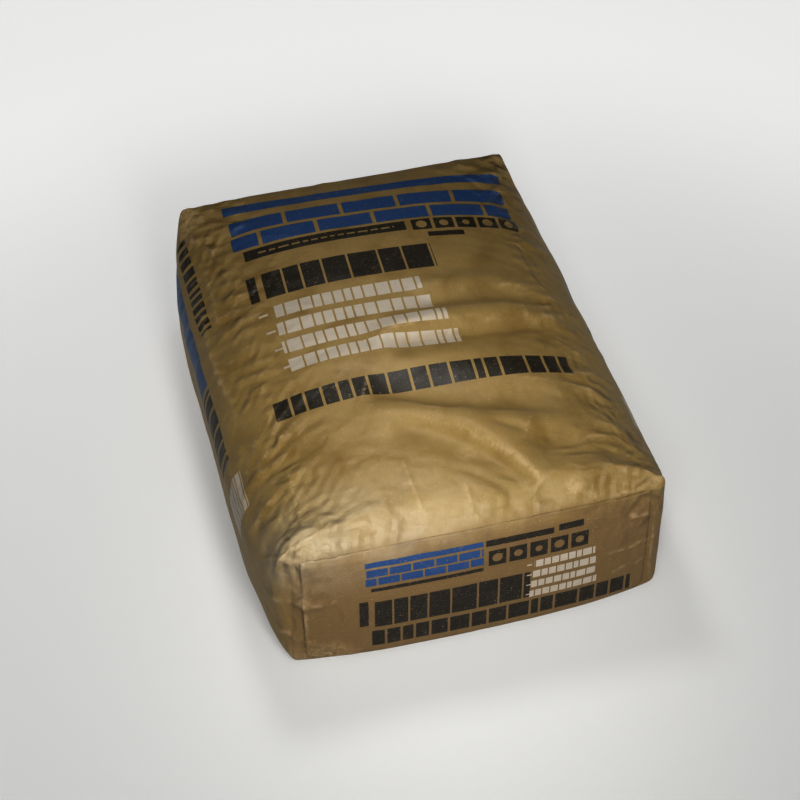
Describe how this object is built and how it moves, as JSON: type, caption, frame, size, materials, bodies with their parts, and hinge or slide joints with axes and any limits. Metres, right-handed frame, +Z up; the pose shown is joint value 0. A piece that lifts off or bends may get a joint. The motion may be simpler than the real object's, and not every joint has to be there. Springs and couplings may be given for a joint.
{
  "type": "cement bag",
  "caption": "Filled cement bag: a brown kraft paper valve sack with pasted block bottom ends, lying flat on its broad side.",
  "frame": {"origin": "on the floor, under the centre of the bag's box as it lies flat", "axes": "+X across the bag's width, +Y along its length away from the printed front end, +Z up"},
  "size_m": [0.336, 0.4382, 0.1465],
  "materials": {
    "sack_kraft": "smooth machine-glazed brown kraft paper, printed, wrinkled over the powder",
    "cover_kraft": "matt unglazed brown kraft paper, pinker than the sack",
    "sleeve_kraft": "matt pale kraft paper",
    "cement_powder": "fine grey powder"
  },
  "bodies": {
    "root": {"paper_sack": "sack_kraft", "cement_fill": "cement_powder", "front_end_cover": "cover_kraft", "rear_end_cover": "cover_kraft", "valve_sleeve": "sleeve_kraft"}
  },
  "joints": []
}
